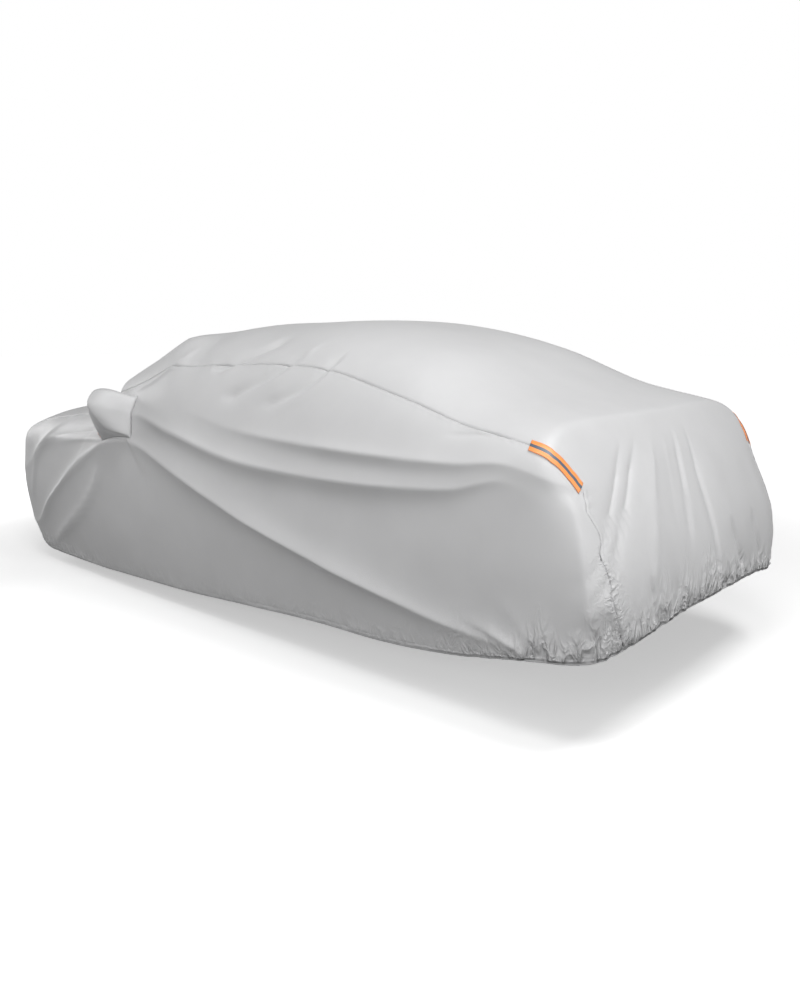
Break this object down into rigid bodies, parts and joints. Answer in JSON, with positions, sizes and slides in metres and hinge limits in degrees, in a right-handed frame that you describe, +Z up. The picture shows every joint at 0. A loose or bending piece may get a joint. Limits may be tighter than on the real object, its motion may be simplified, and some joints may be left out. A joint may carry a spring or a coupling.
{
  "type": "fitted saloon car cover",
  "caption": "Fitted silver-grey cloth cover for a saloon car: top panel, side panels, mirror pockets, elastic hem and orange reflective strips, draped as it hangs on the car.",
  "frame": {"origin": "point under the roof of the cover where the car's roof carries it, on the middle line", "axes": "+X towards the front of the car, +Y to the car's left, +Z up"},
  "size_m": [4.5856, 2.1368, 1.4445],
  "materials": {
    "silver_cloth": "coated, satin",
    "orange_reflective": "reflective band, satin"
  },
  "bodies": {
    "root": {"top_panel": "silver_cloth", "side_panel_left": "silver_cloth", "side_panel_right": "silver_cloth", "mirror_pocket_left": "silver_cloth", "mirror_pocket_right": "silver_cloth", "reflective_strip_rear_left": "orange_reflective", "reflective_strip_rear_right": "orange_reflective", "reflective_strip_mirror_left": "orange_reflective", "reflective_strip_mirror_right": "orange_reflective"}
  },
  "joints": []
}
